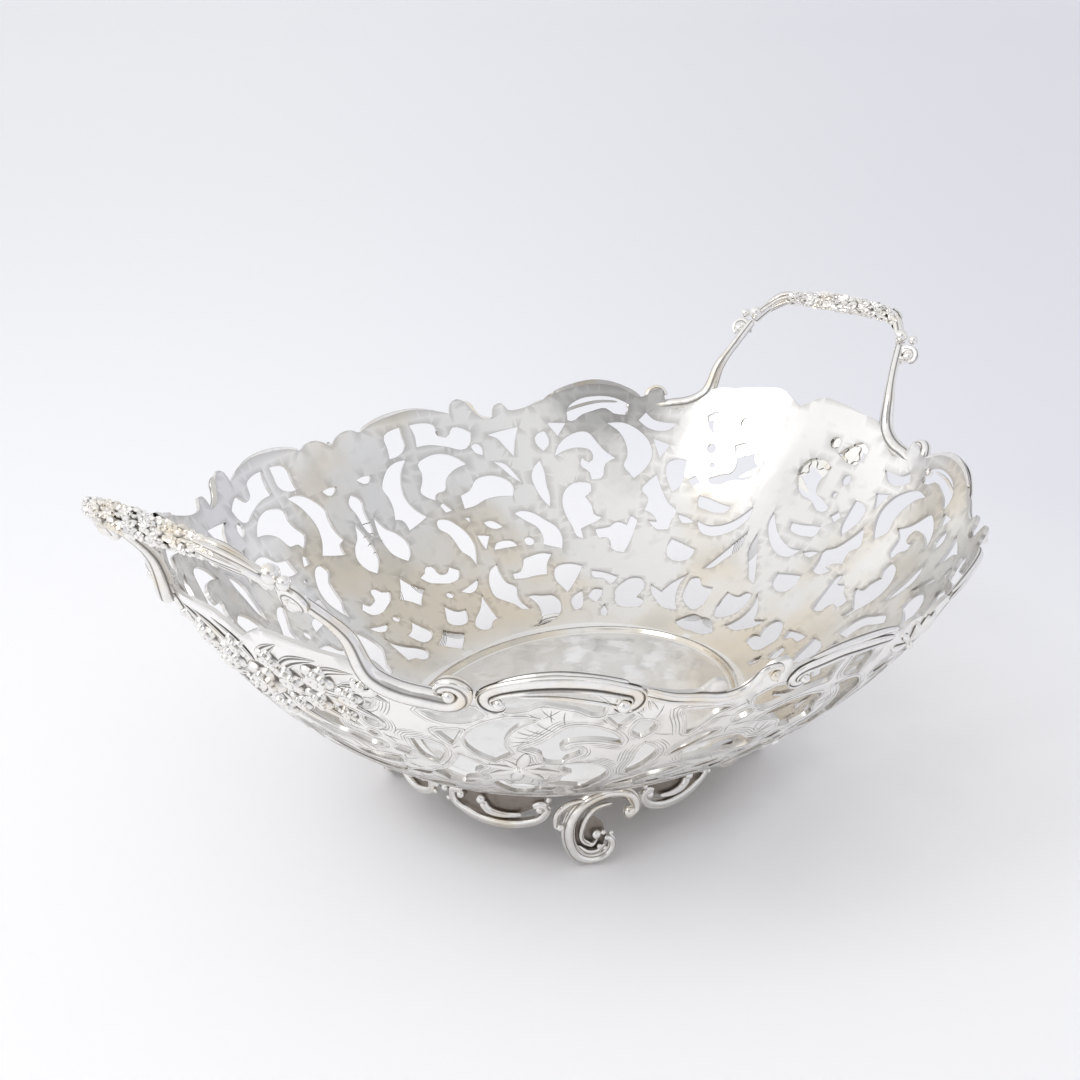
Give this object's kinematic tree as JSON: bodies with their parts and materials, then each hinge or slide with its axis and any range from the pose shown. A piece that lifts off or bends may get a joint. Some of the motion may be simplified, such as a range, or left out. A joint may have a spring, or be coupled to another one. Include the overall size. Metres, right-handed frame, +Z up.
{
  "type": "bread basket",
  "caption": "Oval pierced silver bread basket on cast scroll feet, with a scrolled rim and a fixed cast handle with flowers at each end.",
  "frame": {"origin": "on the table under the middle of the basket", "axes": "+X from the middle towards one handle, +Y towards the middle of a long side, +Z up"},
  "size_m": [0.353, 0.2602, 0.1435],
  "materials": {
    "sheet_silver": "soft polished silver sheet, pierced and chased",
    "cast_silver": "polished cast silver, darker in its recesses",
    "foot_silver": "cast silver with grey tarnish in its recesses"
  },
  "bodies": {
    "root": {"apron_back": "foot_silver", "apron_front": "foot_silver", "apron_left": "foot_silver", "apron_right": "foot_silver", "bowl": "sheet_silver", "flower_spray_left": "cast_silver", "flower_spray_right": "cast_silver", "foot_back_left": "foot_silver", "foot_back_right": "foot_silver", "foot_front_left": "foot_silver", "foot_front_right": "foot_silver", "great_arch_back_left": "cast_silver", "great_arch_back_right": "cast_silver", "great_arch_front_left": "cast_silver", "great_arch_front_right": "cast_silver", "handle_grip_left": "cast_silver", "handle_grip_right": "cast_silver", "handle_leg_back_left": "cast_silver", "handle_leg_back_right": "cast_silver", "handle_leg_front_left": "cast_silver", "handle_leg_front_right": "cast_silver", "link_scroll_back_left": "cast_silver", "link_scroll_back_right": "cast_silver", "link_scroll_front_left": "cast_silver", "link_scroll_front_right": "cast_silver", "middle_shell_back": "cast_silver", "middle_shell_front": "cast_silver", "small_arch_back_left": "cast_silver", "small_arch_back_right": "cast_silver", "small_arch_front_left": "cast_silver", "small_arch_front_right": "cast_silver"}
  },
  "joints": []
}
